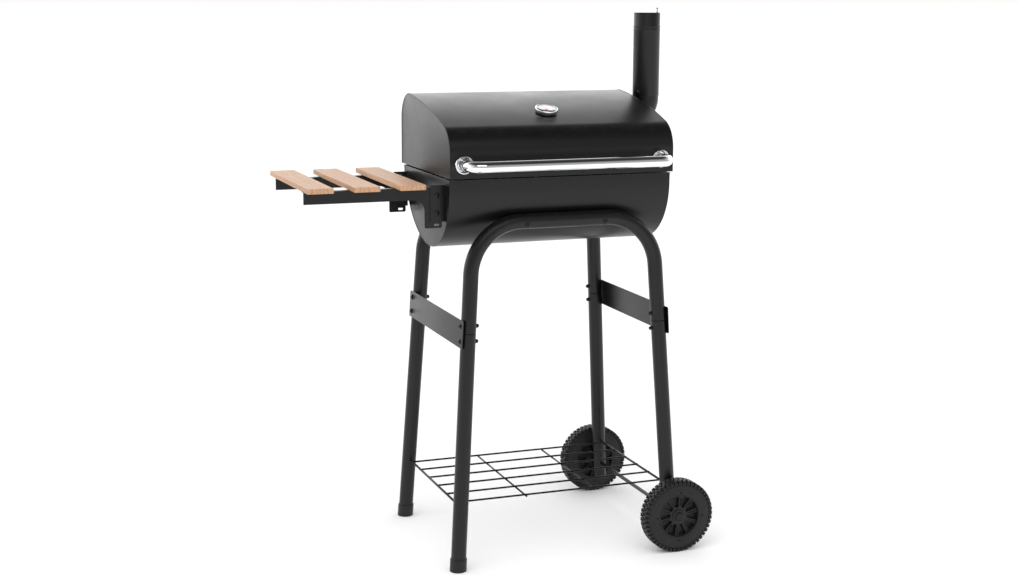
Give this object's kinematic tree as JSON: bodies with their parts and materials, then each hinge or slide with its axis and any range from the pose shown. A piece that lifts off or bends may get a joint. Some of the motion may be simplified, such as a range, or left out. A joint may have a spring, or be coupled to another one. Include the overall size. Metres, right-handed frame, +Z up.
{
  "type": "barrel charcoal smoker grill",
  "caption": "Black barrel charcoal grill and smoker with hinged lid, side chimney, chrome handle, slatted side table, tube legs, wire rack and wheels.",
  "frame": {"origin": "on the floor, under the middle of the whole grill's box, from the side table's free end to the wheels' rims", "axes": "+Z up, +X from the side table towards the chimney and wheels, +Y from the handle at the front towards the hinges at the back"},
  "size_m": [0.816, 0.466, 1.09],
  "materials": {
    "black_paint": "satin black heat paint",
    "black_plastic": "moulded black plastic",
    "chrome": "polished chrome",
    "zinc_steel": "bright zinc plate",
    "grate_steel": "plated wire, a little dull",
    "rack_wire": "black coated wire",
    "dial_white": "printed dial face",
    "needle_red": "red paint",
    "clear_glass": "clear, polished",
    "pale_wood": "oiled light wood"
  },
  "bodies": {
    "trolley_and_bowl": {"bowl_shell": "black_paint", "bowl_end_left": "black_paint", "bowl_end_right": "black_paint", "vent_pivot": "zinc_steel", "hinge_bowl_leaf_left": "black_paint", "hinge_bowl_leaf_right": "black_paint", "frame_upper_front": "black_paint", "frame_upper_rear": "black_paint", "frame_bolt_front_left": "black_paint", "frame_bolt_front_right": "black_paint", "frame_bolt_rear_left": "black_paint", "frame_bolt_rear_right": "black_paint", "rear_spacer_left": "black_paint", "rear_spacer_right": "black_paint", "leg_front_left": "black_paint", "leg_front_right": "black_paint", "leg_rear_left": "black_paint", "leg_rear_right": "black_paint", "foot_cap_front": "black_plastic", "foot_cap_rear": "black_plastic", "side_plate_left": "black_paint", "side_plate_right": "black_paint", "axle": "black_paint", "axle_cap_front": "black_paint", "axle_cap_rear": "black_paint", "bottom_rack": "rack_wire", "cooking_grate_left": "grate_steel", "cooking_grate_right": "grate_steel", "charcoal_grate": "grate_steel", "grate_ledge_front": "black_paint", "grate_ledge_rear": "black_paint", "table_arm_front": "black_paint", "table_arm_rear": "black_paint", "table_bracket_front": "black_paint", "table_bracket_rear": "black_paint", "table_slat_left": "pale_wood", "table_slat_middle": "pale_wood", "table_slat_right": "pale_wood"},
    "lid": {"lid_shell": "black_paint", "lid_end_left": "black_paint", "lid_end_right": "black_paint", "handle_bar": "chrome", "handle_ferrule_left": "chrome", "handle_ferrule_right": "chrome", "gauge_case": "chrome", "gauge_dial": "dial_white", "gauge_glass": "clear_glass", "chimney_elbow": "black_paint", "chimney_stack": "black_paint", "damper_pin": "zinc_steel", "hinge_lid_leaf_left": "black_paint", "hinge_lid_leaf_right": "black_paint", "hinge_pin_left": "zinc_steel", "hinge_pin_right": "zinc_steel"},
    "damper": {"damper_flap": "black_paint"},
    "needle": {"gauge_needle": "needle_red"},
    "vent": {"vent_shutter": "black_paint"},
    "front_wheel": {"wheel_front": "black_plastic"},
    "rear_wheel": {"wheel_rear": "black_plastic"}
  },
  "joints": [
    {"name": "lid_hinge", "type": "hinge", "parent": "trolley_and_bowl", "child": "lid", "pos_m": [0.10105, 0.167, 0.77], "axis": [-1, 0, 0], "range_deg": [0, 95]},
    {"name": "chimney_damper", "type": "hinge", "parent": "lid", "child": "damper", "pos_m": [0.39944, 0.062, 1.078], "axis": [0, 0, 1], "range_deg": [0, 110]},
    {"name": "thermometer_needle", "type": "hinge", "parent": "lid", "child": "needle", "pos_m": [0.09804, -0.07, 0.88578], "axis": [0, 0.2772, -0.9608], "range_deg": [0, 270]},
    {"name": "air_vent", "type": "hinge", "parent": "trolley_and_bowl", "child": "vent", "pos_m": [0.33285, -0.02, 0.706], "axis": [1, 0, 0], "range_deg": [0, 60]},
    {"name": "front_wheel_spin", "type": "hinge", "parent": "trolley_and_bowl", "child": "front_wheel", "pos_m": [0.33296, -0.2165, 0.075], "axis": [0, 1, 0], "continuous": true},
    {"name": "rear_wheel_spin", "type": "hinge", "parent": "trolley_and_bowl", "child": "rear_wheel", "pos_m": [0.33296, 0.2165, 0.075], "axis": [0, 1, 0], "continuous": true}
  ]
}
